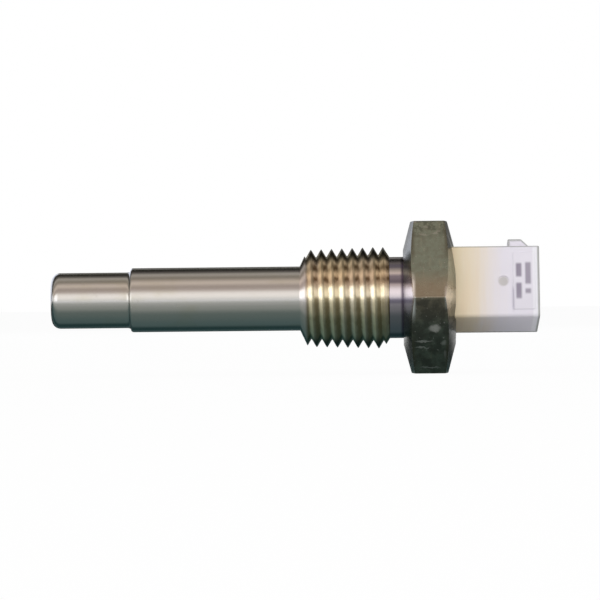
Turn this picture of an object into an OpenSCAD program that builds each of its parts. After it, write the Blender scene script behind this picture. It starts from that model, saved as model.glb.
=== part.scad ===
// Screw-in resistance temperature probe with a moulded two-way connector head.
// X runs from the tip to the connector, Z is up, and one hexagon flat faces down.
// X = 0 is the gauge plane of the taper thread, where a port's face stands when the probe is hand tight.

/* [Stem] */
// Diameter of the stem
stem_d = 8.75; // [8:0.05:10]
// Length of the stem between the tip section and the lead-in cone
stem_len = 23.1; // [12:0.1:60]
// Diameter of the reduced tip section
tip_d = 7.6; // [7:0.05:7.8]
// Length of the reduced tip section
tip_len = 10.85; // [10:0.05:20]
// Radius round the end of the tip
tip_round = 1.2; // [0.4:0.1:1.3]
// Height of the chamfer on the shoulder between tip and stem
shoulder_chamfer = 0.3; // [0.1:0.05:0.45]
// Length of the hollow fillet between the tip and the shoulder
shoulder_fillet = 0.5; // [0.1:0.05:1]

/* [Thread] */
// Pitch of the taper pipe thread, 18 turns to the inch
thread_pitch = 1.411; // [1.3:0.001:1.5]
// Number of turns
thread_turns = 8; // [7:1:10]
// Crest diameter on the gauge plane
thread_gauge_d = 13.616; // [13.4:0.001:14]
// Length of thread before the gauge plane
thread_gauge_len = 5.786; // [4.5:0.001:7]
// Growth of the diameter for each unit of length
thread_taper = 0.0625; // [0.05:0.0025:0.07]
// Depth from crest to root
thread_depth = 1.1; // [0.9:0.01:1.14]
// Width of the flat on a crest
crest_flat = 0.09; // [0.04:0.01:0.12]
// Included angle of the groove between two crests
thread_angle = 60; // [55:1:60]
// Length of the cone that leads from the stem to the thread
lead_in_len = 0.95; // [0.4:0.05:2]
// Length from the last crest's middle to the straight neck
runout_len = 1.27; // [0.9:0.01:3]
// Diameter of the neck behind the thread
neck_d = 11.07; // [10.6:0.01:11.3]
// Length of the neck
neck_len = 1.86; // [0.8:0.01:4]

/* [Hexagon] */
// Width across the flats
hex_af = 20.64; // [20.4:0.01:24]
// Thickness of the hexagon
hex_len = 7.07; // [6.6:0.01:10]
// Diameter of the flat land inside the chamfer of each hexagon face
hex_land_d = 12.9; // [12:0.1:18]
// Angle of the chamfer, measured from the face
hex_chamfer = 15; // [10:1:30]

/* [Bores] */
// Bore through the stem
stem_bore_d = 6; // [5.6:0.05:6.2]
// Bore in the tip section
tip_bore_d = 5.4; // [5.2:0.05:5.5]
// Thickness of the closed end of the tip
tip_wall = 1.4; // [1:0.1:3]
// How far the tip bore reaches past the outer shoulder
bore_step_gap = 0.85; // [0.3:0.05:2]
// Bore of the chamber under the header
chamber_d = 7.2; // [6.8:0.1:7.4]
// Depth of the chamber below the pocket
chamber_len = 7.6; // [6:0.1:9]
// Depth of the pocket that holds the foot of the header
pocket_len = 3.83; // [3:0.01:5]

/* [Header] */
// Width of the header, across the latch side
header_w = 12.2; // [11.6:0.1:12.6]
// Height of the header
header_h = 9.8; // [8.8:0.1:10]
// Radius on the long edges of the header
header_round = 0.5; // [0.2:0.05:0.9]
// Length of header that stands out of the hexagon
header_out = 11.34; // [11:0.01:16]
// Height of the header's centre above the probe's axis
header_rise = 0.95; // [0:0.05:1]
// Turn of the header against the hexagon, in degrees
header_turn = 10.8; // [0:0.1:15]
// Thickness of the walls round the socket
socket_wall = 1.25; // [1:0.05:1.3]
// Depth of the socket
socket_depth = 9.6; // [9.5:0.1:11]
// Radius in the corners of the socket
socket_round = 0.4; // [0.2:0.05:0.8]
// Thickness of the gasket under the header's foot
gasket_t = 1; // [0.5:0.1:1.5]
// Distance from the mouth to the foot of the latch ramp
latch_setback = 0.6; // [0.6:0.1:3]
// Length of the latch ramp
latch_ramp_len = 1.75; // [0.8:0.05:2]
// Length of the flat top of the latch
latch_top_len = 1.8; // [1:0.05:3]
// Width of the latch
latch_w = 4.4; // [3:0.1:7]
// Height of the latch
latch_h = 1.67; // [1:0.01:2.2]
// Height of the marking pad on the side of the header
pad_proud = 0.15; // [0.05:0.01:0.3]
// Length of the marking pad
pad_len = 3; // [2:0.1:4.5]
// Height of the marking pad, along the side wall
pad_h = 7.8; // [3:0.1:7.8]
// Distance from the mouth to the marking pad
pad_setback = 0.6; // [0.3:0.1:2]
// Diameter of the ejector mark
ejector_d = 1.5; // [0.8:0.1:2]
// Depth of the ejector mark
ejector_depth = 0.15; // [0.05:0.01:0.4]
// Distance from the mouth to the centre of the ejector mark
ejector_setback = 4.9; // [4.8:0.1:8]

/* [Contacts] */
// Width of a contact blade
blade_w = 2.8; // [2:0.1:3]
// Thickness of a contact blade
blade_t = 0.8; // [0.5:0.05:1]
// Distance between the centres of the two blades
blade_pitch = 5; // [4.4:0.1:5.2]
// Length of blade that stands in the socket
blade_out = 5.2; // [4:0.1:5.3]
// Length of the taper at the free end of a blade
blade_point = 0.7; // [0.3:0.1:1]
// Width of the tail that the lead wire joins
tail_w = 0.7; // [0.5:0.05:0.7]
// Thickness of the tail
tail_t = 0.5; // [0.3:0.05:0.5]
// Length of the tail below the pocket
tail_len = 3; // [2:0.1:4]
// Length over which a blade widens from its tail
blade_flare_len = 2.2; // [1.5:0.1:3]

/* [Leads] */
// Distance between the two leads
lead_pitch = 1.6; // [1.6:0.05:1.8]
// Diameter of a lead wire's conductor
core_d = 0.6; // [0.4:0.05:0.7]
// Diameter of a lead wire's jacket
jacket_d = 1.2; // [1.1:0.05:1.4]
// Outer diameter of a splice sleeve or a ferrule
sleeve_d = 1.4; // [1.3:0.05:1.5]
// Bore of a splice sleeve or a ferrule
sleeve_bore_d = 0.9; // [0.88:0.01:1]
// Length of a splice sleeve or a ferrule
sleeve_len = 3.5; // [3:0.1:4]
// Diameter of a chip lead
chip_lead_d = 0.3; // [0.2:0.05:0.4]
// Outer diameter of the liner tube
liner_d = 5.8; // [5.4:0.05:5.9]
// Bore of the liner tube
liner_bore_d = 5; // [4.8:0.05:5.1]
// Thickness of the lead spacer
spacer_t = 1; // [0.6:0.1:2]

/* [Sensing element] */
// Length of the chip
chip_len = 5; // [3:0.1:5.2]
// Width of the chip
chip_w = 2.3; // [2:0.1:3]
// Thickness of the chip
chip_t = 0.65; // [0.4:0.05:1]
// Length of the glaze over the lead ends
glaze_len = 1.4; // [1:0.1:2]
// Thickness of the glaze
glaze_t = 0.5; // [0.4:0.05:0.9]
// Distance from the bottom of the bore to the chip
chip_setback = 1; // [0.5:0.1:1.2]
// Outer diameter of the twin-bore insulator
insulator_d = 4.6; // [4:0.1:4.9]
// Length of the twin-bore insulator
insulator_len = 5.5; // [4:0.1:7]
// Bore for each chip lead in the insulator
insulator_bore_d = 0.5; // [0.45:0.05:0.7]
// Gap between the chip and the insulator
insulator_gap = 0.6; // [0.3:0.1:1]

/* [Clearances] */
// Gap round a part that is dropped into a bore
slip_gap = 0.05; // [0.02:0.01:0.1]
// Gap left between a moulded part and what it surrounds
mould_gap = 0.02; // [0.01:0.01:0.05]

/* [Hidden] */
$fn = 96;
eps = 0.01;
LEFT = 1;
RIGHT = -1;

// Stations along X
x_thread = -thread_gauge_len;
crests_before = floor(thread_gauge_len / thread_pitch);
x_lead_in = x_thread - lead_in_len;
x_shoulder = x_lead_in - stem_len;
x_tip = x_shoulder - tip_len;
x_neck = crest_x(thread_turns - 1) + runout_len;
x_hex = x_neck + neck_len;
x_rear = x_hex + hex_len;
x_mouth = x_rear + header_out;
x_pocket = x_rear - pocket_len;
x_foot = x_pocket + gasket_t;
x_chamber = x_pocket - chamber_len;
x_bore_step = x_shoulder + bore_step_gap;
x_bore_end = x_tip + tip_wall;
x_socket = x_mouth - socket_depth;
x_blade_end = x_socket + blade_out;
x_tail = x_pocket - tail_len;
x_chip = x_bore_end + chip_setback;
x_chip_end = x_chip + chip_len;
x_glaze = x_chip_end - glaze_len;
x_insulator = x_chip_end + insulator_gap;
x_insulator_end = x_insulator + insulator_len;
x_splice = x_insulator_end + insulator_gap;
x_splice_end = x_splice + sleeve_len;
x_splice_mid = x_splice + sleeve_len / 2;
x_ferrule = x_tail - sleeve_len / 2;
x_ferrule_end = x_tail + sleeve_len / 2;
x_liner_end = x_chamber - spacer_t;

// Profiles and sizes that several parts share
step_h = (stem_d - tip_d) / 2;
shoulder_bevel = min(shoulder_chamfer, step_h / 2);
fillet_h = step_h - shoulder_bevel;
fillet_r = (shoulder_fillet * shoulder_fillet + fillet_h * fillet_h) / (2 * fillet_h);
fillet_turn = 2 * atan(fillet_h / shoulder_fillet);
fillet_steps = 5;
hex_ac = hex_af / cos(30);
chamfer_r = hex_ac / 2 + 1;
chamfer_depth = (chamfer_r - hex_land_d / 2) * tan(hex_chamfer);
flank_w = thread_depth * tan(thread_angle / 2);
function crest_r(x) = thread_gauge_d / 2 + x * thread_taper / 2;
function root_r(x) = crest_r(x) - thread_depth;
function crest_x(i) = (i - crests_before) * thread_pitch;

// Lays a solid that was built along Z along X instead
module along_x(x) {
    translate([x, 0, 0]) rotate([0, 90, 0]) children();
}

// A rod on the X axis, or off it by y
module rod(d, x0, x1, y = 0) {
    translate([0, y, 0]) along_x(x0) cylinder(d = d, h = x1 - x0);
}

// A plate that spans x0 to x1 and is centred on y and z
module plate(x0, x1, w, t, y = 0, z = 0) {
    translate([x0, y - w / 2, z - t / 2]) cube([x1 - x0, w, t]);
}

// A bar along X with rounded long edges
module rounded_bar(x0, x1, w, h, r) {
    translate([x0, 0, 0]) rotate([90, 0, 90]) linear_extrude(x1 - x0) {
        square([w - 2 * r, h], center = true);
        square([w, h - 2 * r], center = true);
        for (sy = [-1, 1], sz = [-1, 1])
            translate([sy * (w / 2 - r), sz * (h / 2 - r)]) circle(r);
    }
}

// The header and all that hangs on it are turned together against the hexagon
module turned() {
    rotate([-header_turn, 0, 0]) children();
}

// A point on the hollow fillet in front of the shoulder, as [radius, x]
function fillet_point(turn) = [
    tip_d / 2 + fillet_r * (1 - cos(turn)),
    x_shoulder - shoulder_fillet + fillet_r * sin(turn)
];

// Half section of the stem, the thread and the neck, as [radius, x]
module turned_section() {
    polygon(concat(
        [[0, x_tip], [tip_d / 2 - tip_round, x_tip], [tip_d / 2 - tip_round, x_tip + tip_round]],
        [[tip_d / 2, x_tip + tip_round]],
        [for (i = [0 : fillet_steps]) fillet_point(fillet_turn * i / fillet_steps)],
        [[stem_d / 2, x_shoulder + shoulder_bevel]],
        [[stem_d / 2, x_lead_in]],
        [for (i = [0 : thread_turns - 1], p = [
            if (i > 0) [root_r(crest_x(i)), crest_x(i) - crest_flat / 2 - flank_w],
            [crest_r(crest_x(i)), crest_x(i) - crest_flat / 2],
            [crest_r(crest_x(i)), crest_x(i) + crest_flat / 2],
            [root_r(crest_x(i)), crest_x(i) + crest_flat / 2 + flank_w]
        ]) p],
        [[neck_d / 2, x_neck], [neck_d / 2, x_hex], [neck_d / 2, x_hex + eps], [0, x_hex + eps]]
    ));
}

module tip_corner() {
    along_x(x_tip + tip_round)
        rotate_extrude() translate([tip_d / 2 - tip_round, 0]) circle(tip_round);
}

module hexagon() {
    intersection() {
        along_x(x_hex) rotate([0, 0, 30]) cylinder(d = hex_ac, h = hex_len, $fn = 6);
        along_x(0) rotate_extrude() polygon([
            [0, x_hex], [hex_land_d / 2, x_hex], [chamfer_r, x_hex + chamfer_depth],
            [chamfer_r, x_rear - chamfer_depth], [hex_land_d / 2, x_rear], [0, x_rear]
        ]);
    }
}

module body_bores() {
    rod(tip_bore_d, x_bore_end, x_bore_step + eps);
    rod(stem_bore_d, x_bore_step, x_chamber + eps);
    rod(chamber_d, x_chamber, x_pocket + eps);
    turned() translate([0, 0, header_rise]) rounded_bar(
        x_pocket, x_rear + eps, header_w + 2 * slip_gap, header_h + 2 * slip_gap, header_round + slip_gap
    );
}

module probe_body() {
    color("silver") difference() {
        union() {
            along_x(0) rotate_extrude() turned_section();
            tip_corner();
            hexagon();
        }
        body_bores();
    }
}

// Latch ramp seen from the side, as [x, height]
module latch() {
    x_foot = x_mouth - latch_setback;
    x_top = x_foot - latch_ramp_len;
    translate([0, latch_w / 2, header_rise + header_h / 2]) rotate([90, 0, 0])
        linear_extrude(latch_w) polygon([
            [x_foot, -eps], [x_foot, 0], [x_top, latch_h],
            [x_top - latch_top_len, latch_h], [x_top - latch_top_len, -eps]
        ]);
}

module marking_pad() {
    plate(
        x_mouth - pad_setback - pad_len, x_mouth - pad_setback,
        pad_proud + header_round, pad_h, (header_round - pad_proud - header_w) / 2, header_rise
    );
}

module ejector_mark() {
    translate([x_mouth - ejector_setback, ejector_depth - header_w / 2, header_rise])
        rotate([90, 0, 0]) cylinder(d = ejector_d, h = ejector_depth + eps);
}

// A contact blade with its flare, and its tail, all grown by gap on each side
module blade(side, gap) {
    tail_y = lead_pitch / 2;
    blade_y = blade_pitch / 2;
    tail_e = tail_w / 2 + gap;
    blade_e = blade_w / 2 + gap;
    mirror([0, side == LEFT ? 0 : 1, 0]) {
        translate([0, 0, -blade_t / 2 - gap]) linear_extrude(blade_t + 2 * gap) polygon([
            [x_foot, tail_y - tail_e], [x_foot + blade_flare_len, blade_y - blade_e],
            [x_blade_end - blade_point, blade_y - blade_e], [x_blade_end, blade_y - blade_e / 2],
            [x_blade_end, blade_y + blade_e / 2], [x_blade_end - blade_point, blade_y + blade_e],
            [x_foot + blade_flare_len, blade_y + blade_e], [x_foot, tail_y + tail_e]
        ]);
        plate(x_tail, x_foot + eps, tail_w + 2 * gap, tail_t + 2 * gap, tail_y);
    }
}

module connector_housing() {
    color("ivory") turned() difference() {
        union() {
            translate([0, 0, header_rise])
                rounded_bar(x_foot, x_mouth, header_w, header_h, header_round);
            latch();
            marking_pad();
        }
        translate([0, 0, header_rise]) rounded_bar(
            x_socket, x_mouth + eps, header_w - 2 * socket_wall, header_h - 2 * socket_wall, socket_round
        );
        ejector_mark();
        for (side = [LEFT, RIGHT]) blade(side, mould_gap);
    }
}

module contact_blade(side) {
    color("gainsboro") turned() blade(side, 0);
}

module header_gasket() {
    color("dimgray") turned() difference() {
        translate([0, 0, header_rise])
            rounded_bar(x_pocket, x_foot, header_w, header_h, header_round);
        for (side = [LEFT, RIGHT])
            plate(x_pocket - eps, x_foot + eps, tail_w + 2 * mould_gap, tail_t + 2 * mould_gap,
                side * lead_pitch / 2);
    }
}

module chip_body(gap) {
    plate(x_chip - gap, x_chip_end + gap, chip_w + 2 * gap, chip_t + 2 * gap,
        0, -(chip_lead_d + chip_t) / 2);
}

module glaze_body(gap) {
    plate(x_glaze - gap, x_chip_end + gap, chip_w + 2 * gap, glaze_t + 2 * gap,
        0, (glaze_t - chip_lead_d) / 2);
}

module chip_lead_body(side, gap) {
    rod(chip_lead_d + 2 * gap, x_glaze + chip_lead_d, x_splice_mid - mould_gap, side * lead_pitch / 2);
}

module sensing_chip() {
    color("white") turned() chip_body(0);
}

module chip_glaze() {
    color("lightblue") turned() difference() {
        glaze_body(0);
        for (side = [LEFT, RIGHT]) chip_lead_body(side, mould_gap);
    }
}

module chip_lead(side) {
    color("silver") turned() chip_lead_body(side, 0);
}

module twin_bore_insulator() {
    color("white") turned() difference() {
        rod(insulator_d, x_insulator, x_insulator_end);
        for (side = [LEFT, RIGHT])
            rod(insulator_bore_d, x_insulator - eps, x_insulator_end + eps, side * lead_pitch / 2);
    }
}

// A short metal sleeve crimped where two conductors meet
module crimp_sleeve(x0, side) {
    color("gold") turned() difference() {
        rod(sleeve_d, x0, x0 + sleeve_len, side * lead_pitch / 2);
        rod(sleeve_bore_d, x0 - eps, x0 + sleeve_len + eps, side * lead_pitch / 2);
    }
}

module lead_wire(side) {
    color("orange") turned()
        rod(core_d, x_splice_mid + mould_gap, x_tail - mould_gap, side * lead_pitch / 2);
}

module wire_jacket(side) {
    color(side == LEFT ? "red" : "white") turned() difference() {
        rod(jacket_d, x_splice_end + slip_gap, x_ferrule - slip_gap, side * lead_pitch / 2);
        rod(core_d + 2 * mould_gap, x_splice_end, x_ferrule, side * lead_pitch / 2);
    }
}

module liner_tube() {
    color("white") difference() {
        rod(liner_d, x_bore_step, x_liner_end);
        rod(liner_bore_d, x_bore_step - eps, x_liner_end + eps);
    }
}

module lead_spacer() {
    color("beige") turned() difference() {
        rod(stem_bore_d - 2 * slip_gap, x_liner_end, x_chamber);
        for (side = [LEFT, RIGHT])
            rod(jacket_d + 2 * slip_gap, x_liner_end - eps, x_chamber + eps, side * lead_pitch / 2);
    }
}

module potting_plug() {
    color("black") turned() difference() {
        rod(chamber_d - 2 * mould_gap, x_chamber, x_pocket);
        for (side = [LEFT, RIGHT]) {
            rod(jacket_d + 2 * mould_gap, x_chamber - eps, x_ferrule, side * lead_pitch / 2);
            rod(sleeve_d + 2 * mould_gap, x_ferrule - slip_gap, x_ferrule_end + mould_gap,
                side * lead_pitch / 2);
            plate(x_tail, x_pocket + eps, tail_w + 2 * mould_gap, tail_t + 2 * mould_gap,
                side * lead_pitch / 2);
        }
    }
}

module thermal_filler() {
    color("lightgray") turned() difference() {
        rod(tip_bore_d - 2 * mould_gap, x_bore_end, x_insulator);
        chip_body(mould_gap);
        glaze_body(mould_gap);
        for (side = [LEFT, RIGHT]) chip_lead_body(side, mould_gap);
    }
}

probe_body();
connector_housing();
contact_blade(LEFT);  // contact_blade_left
contact_blade(RIGHT);  // contact_blade_right
header_gasket();
sensing_chip();
chip_glaze();
chip_lead(LEFT);  // chip_lead_left
chip_lead(RIGHT);  // chip_lead_right
twin_bore_insulator();
crimp_sleeve(x_splice, LEFT);  // splice_sleeve_left
crimp_sleeve(x_splice, RIGHT);  // splice_sleeve_right
lead_wire(LEFT);  // lead_wire_left
lead_wire(RIGHT);  // lead_wire_right
wire_jacket(LEFT);  // wire_jacket_left
wire_jacket(RIGHT);  // wire_jacket_right
crimp_sleeve(x_ferrule, LEFT);  // blade_ferrule_left
crimp_sleeve(x_ferrule, RIGHT);  // blade_ferrule_right
liner_tube();
lead_spacer();
potting_plug();
thermal_filler();
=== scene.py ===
"""Dresses a screw-in resistance temperature probe with a two-way header."""

import math
from types import SimpleNamespace

import bmesh
import bpy
from bpy.props import FloatProperty, FloatVectorProperty, IntProperty, PointerProperty
from mathutils import Matrix, Vector


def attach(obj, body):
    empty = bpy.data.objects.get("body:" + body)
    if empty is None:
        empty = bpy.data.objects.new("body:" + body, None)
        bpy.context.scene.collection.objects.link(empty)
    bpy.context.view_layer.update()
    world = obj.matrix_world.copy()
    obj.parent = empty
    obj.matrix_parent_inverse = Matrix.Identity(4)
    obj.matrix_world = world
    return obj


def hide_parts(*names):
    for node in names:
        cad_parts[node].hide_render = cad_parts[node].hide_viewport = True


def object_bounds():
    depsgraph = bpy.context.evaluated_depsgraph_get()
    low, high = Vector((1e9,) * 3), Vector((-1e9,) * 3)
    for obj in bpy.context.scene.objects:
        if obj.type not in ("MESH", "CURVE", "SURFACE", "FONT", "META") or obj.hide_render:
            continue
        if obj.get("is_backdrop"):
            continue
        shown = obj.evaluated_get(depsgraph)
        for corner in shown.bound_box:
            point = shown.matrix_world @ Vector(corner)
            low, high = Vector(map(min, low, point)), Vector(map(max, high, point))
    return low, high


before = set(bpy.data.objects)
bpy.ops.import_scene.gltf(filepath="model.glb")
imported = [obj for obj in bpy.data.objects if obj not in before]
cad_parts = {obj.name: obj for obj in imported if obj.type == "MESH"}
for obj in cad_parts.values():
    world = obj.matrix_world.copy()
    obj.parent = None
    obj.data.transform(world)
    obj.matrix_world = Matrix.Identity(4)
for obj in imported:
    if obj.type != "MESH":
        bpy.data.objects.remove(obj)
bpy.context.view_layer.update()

bl_info = {
    "name": "Screw-in Temperature Probe",
    "version": (1, 0, 0),
    "blender": (4, 5, 0),
    "location": "View3D > Sidebar > Probe",
    "description": "Builds and finishes a screw-in temperature probe with a header",
    "category": "Object",
}

MM = 0.001
SIDES = 6
TURN = 2 * math.pi
TINY = 1e-9


# ---------------------------------------------------------------- sizes


def size(name, default, description, low=0.0):
    """A length that the user can change, given here in millimetres and kept in metres."""
    return FloatProperty(
        name=name,
        description=description,
        default=default * MM,
        min=low * MM,
        soft_max=100 * MM,
        subtype="DISTANCE",
        unit="LENGTH",
        precision=6,
    )


def ratio(name, default, description):
    """A plain number that the user can change."""
    return FloatProperty(
        name=name, description=description, default=default, min=0.001, max=10, precision=5
    )


def turn(name, degrees, description):
    """An angle that the user can change."""
    return FloatProperty(
        name=name,
        description=description,
        default=math.radians(degrees),
        subtype="ANGLE",
        unit="ROTATION",
    )


def colour(name, default, description):
    """A colour that the user can change."""
    return FloatVectorProperty(
        name=name, default=default, size=3, min=0, max=1, subtype="COLOR", description=description
    )


def in_mm(group):
    """The values of a group, with its lengths in millimetres."""
    values = {}
    for name in type(group).__annotations__:
        value = getattr(group, name)
        values[name] = value / MM if group.bl_rna.properties[name].unit == "LENGTH" else value
    return SimpleNamespace(**values)


class ProbeBodySizes(bpy.types.PropertyGroup):
    """Sizes of the turned body; places are along X from the thread's gauge plane."""

    tip_d: size("Tip diameter", 7.6, "Diameter of the sensing tip")
    tip_x: size("Tip end", -40.686, "Where the tip ends", low=-100)
    tip_round: size("Tip rounding", 1.2, "Radius between the tip's end and side")
    shoulder_x: size("Shoulder", -29.836, "Where the tip meets the stem", low=-100)
    shoulder_fillet: size("Shoulder fillet", 0.5, "Length of the hollow fillet on the tip's side")
    shoulder_bevel: size("Shoulder bevel", 0.36, "Length of the bevel on the stem's side")
    stem_d: size("Stem diameter", 8.75, "Diameter of the stem")
    lead_x: size("Lead-in start", -6.736, "Where the lead-in cone leaves the stem", low=-100)
    lead_slope: ratio("Lead-in slope", 2.15, "How steeply the lead-in cone rises")
    thread_r: size("Thread radius", 6.808, "Crest radius on the gauge plane")
    thread_depth: size("Thread depth", 1.1, "Height from root to crest")
    thread_pitch: size("Pitch", 1.411, "Length of one turn of the thread")
    thread_soft: ratio("Crest rounding", 0.16, "Rounding of crests and roots, as a share of a flank")
    thread_phase: size("Thread start", -0.977, "Where a crest crosses the top", low=-100)
    taper: ratio("Taper", 0.03125, "How steeply the thread's radius grows")
    runout_slope: ratio("Run-out slope", 1.58, "How steeply the last ridge falls")
    neck_x: size("Neck start", 5.503, "Where the straight neck starts", low=-100)
    neck_d: size("Neck diameter", 11.07, "Diameter of the neck")
    hex_x: size("Hexagon start", 7.363, "Where the hexagon starts", low=-100)
    hex_end: size("Hexagon end", 14.433, "Where the hexagon ends", low=-100)
    hex_af: size("Across flats", 20.64, "Size of the hexagon across its flats")
    hex_land_d: size("End land diameter", 12.9, "Diameter of the hexagon's flat ends")
    hex_chamfer: turn("Chamfer", 15, "Slope of the cone at each end of the hexagon")
    hex_corner: size("Corner rounding", 0.22, "Radius along the hexagon's corners")
    edge: size("Edge rounding", 0.1, "Length of the rounding at each end of a flat")
    chamber_d: size("Chamber diameter", 7.2, "Diameter of the chamber under the header")
    chamber_x: size("Chamber floor", 3.003, "Where the chamber ends")
    bore_d: size("Bore diameter", 6.0, "Diameter of the bore through the stem")
    bore_x: size("Bore end", -28.986, "Where the stem's bore ends", low=-100)
    tip_bore_d: size("Tip bore diameter", 5.4, "Diameter of the bore in the tip")
    tip_bore_x: size("Tip bore end", -39.286, "Where the tip's bore ends", low=-100)
    thread_rows: IntProperty(name="Rows per turn", default=24, min=8, description="Mesh rows to a turn")


class HeaderSizes(bpy.types.PropertyGroup):
    """Sizes of the header, before it is turned about the probe's axis."""

    turned: turn("Turn", 10.8, "Turn about the probe's axis")
    rise: size("Rise", 0.95, "Height of the header's middle above the probe's axis")
    width: size("Width", 12.2, "Width of the header")
    height: size("Height", 9.8, "Height of the header")
    corner: size("Corner", 0.5, "Radius of the header's long edges")
    foot_x: size("Foot", 11.603, "Where the header stands on its gasket")
    mouth_x: size("Mouth", 25.773, "Where the header ends")
    socket_x: size("Socket floor", 16.173, "How deep the socket goes")
    wall: size("Wall", 1.25, "Thickness of the socket's wall")
    socket_corner: size("Socket corner", 0.4, "Radius in the socket's corners")
    lip: size("Lip rounding", 0.16, "Rounding round the mouth")
    pocket_x: size("Pocket floor", 10.603, "Floor of the pocket under the header")
    pocket_gap: size("Pocket gap", 0.05, "Gap between the header and its pocket")
    latch_foot: size("Latch setback", 0.6, "From the mouth to the foot of the latch ramp")
    latch_ramp: size("Latch ramp", 1.75, "Length of the latch ramp")
    latch_top: size("Latch top", 1.8, "Length of the latch's flat top")
    latch_width: size("Latch width", 4.4, "Width of the latch")
    latch_height: size("Latch height", 1.67, "Height of the latch")
    pad_foot: size("Pad setback", 0.6, "From the mouth to the marking pad")
    pad_length: size("Pad length", 3.0, "Length of the marking pad")
    pad_height: size("Pad height", 7.8, "Height of the marking pad")
    pad_proud: size("Pad thickness", 0.15, "How far the marking pad stands out")
    mark_foot: size("Mark setback", 4.9, "From the mouth to the middle of the ejector mark")
    mark_d: size("Mark diameter", 1.5, "Diameter of the ejector mark")
    mark_depth: size("Mark depth", 0.15, "Depth of the ejector mark")
    root: size("Root", 0.3, "How far the latch and the pad reach into the bar")
    latch_bevel: size("Latch bevel", 0.14, "Bevel along the latch's edges")
    pad_bevel: size("Pad bevel", 0.08, "Bevel along the pad's edges")


class StageSizes(bpy.types.PropertyGroup):
    """The camera's place and what it sees."""

    distance: size("Distance", 560, "From the camera to the probe")
    width: size("Width", 81.95, "Width that the camera sees at the probe")
    aim_x: size("Aim along", -6.75, "Where the camera looks, along the probe", low=-100)
    aim_z: size("Aim up", -0.2, "Where the camera looks, above the probe's axis", low=-100)
    azimuth: turn("Azimuth", 1.2, "How far the camera stands to the right of the probe's front")
    roll: turn("Roll", -0.6, "Turn of the camera about its own axis")


class ProbeColours(bpy.types.PropertyGroup):
    """Colours of the finishes."""

    steel: colour("Steel", (0.60, 0.59, 0.585), "Turned steel of the stem and the neck")
    thread: colour("Thread", (0.98, 0.87, 0.64), "Warm tint of the thread")
    hexagon: colour("Hexagon", (0.24, 0.28, 0.235), "Dull olive skin of the flats")
    ivory: colour("Ivory", (0.84, 0.71, 0.49), "Header near the hexagon")
    pale: colour("Pale ivory", (0.80, 0.77, 0.85), "Header near its mouth")
    ink: colour("Ink", (0.12, 0.085, 0.16), "Marks on the header's pad")


# ---------------------------------------------------------------- shader kit


class Value:
    """A socket of a shader tree, with arithmetic."""

    def __init__(self, nodes, socket):
        self.nodes = nodes
        self.socket = socket

    def __add__(self, other):
        return self.nodes.math("ADD", self, other)

    __radd__ = __add__

    def __sub__(self, other):
        return self.nodes.math("SUBTRACT", self, other)

    def __rsub__(self, other):
        return self.nodes.math("SUBTRACT", other, self)

    def __mul__(self, other):
        return self.nodes.math("MULTIPLY", self, other)

    __rmul__ = __mul__

    def __abs__(self):
        return self.nodes.math("ABSOLUTE", self)

    def clamped(self):
        """The value held between 0 and 1."""
        return self.nodes.math("ADD", self, 0.0, clamp=True)


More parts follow.
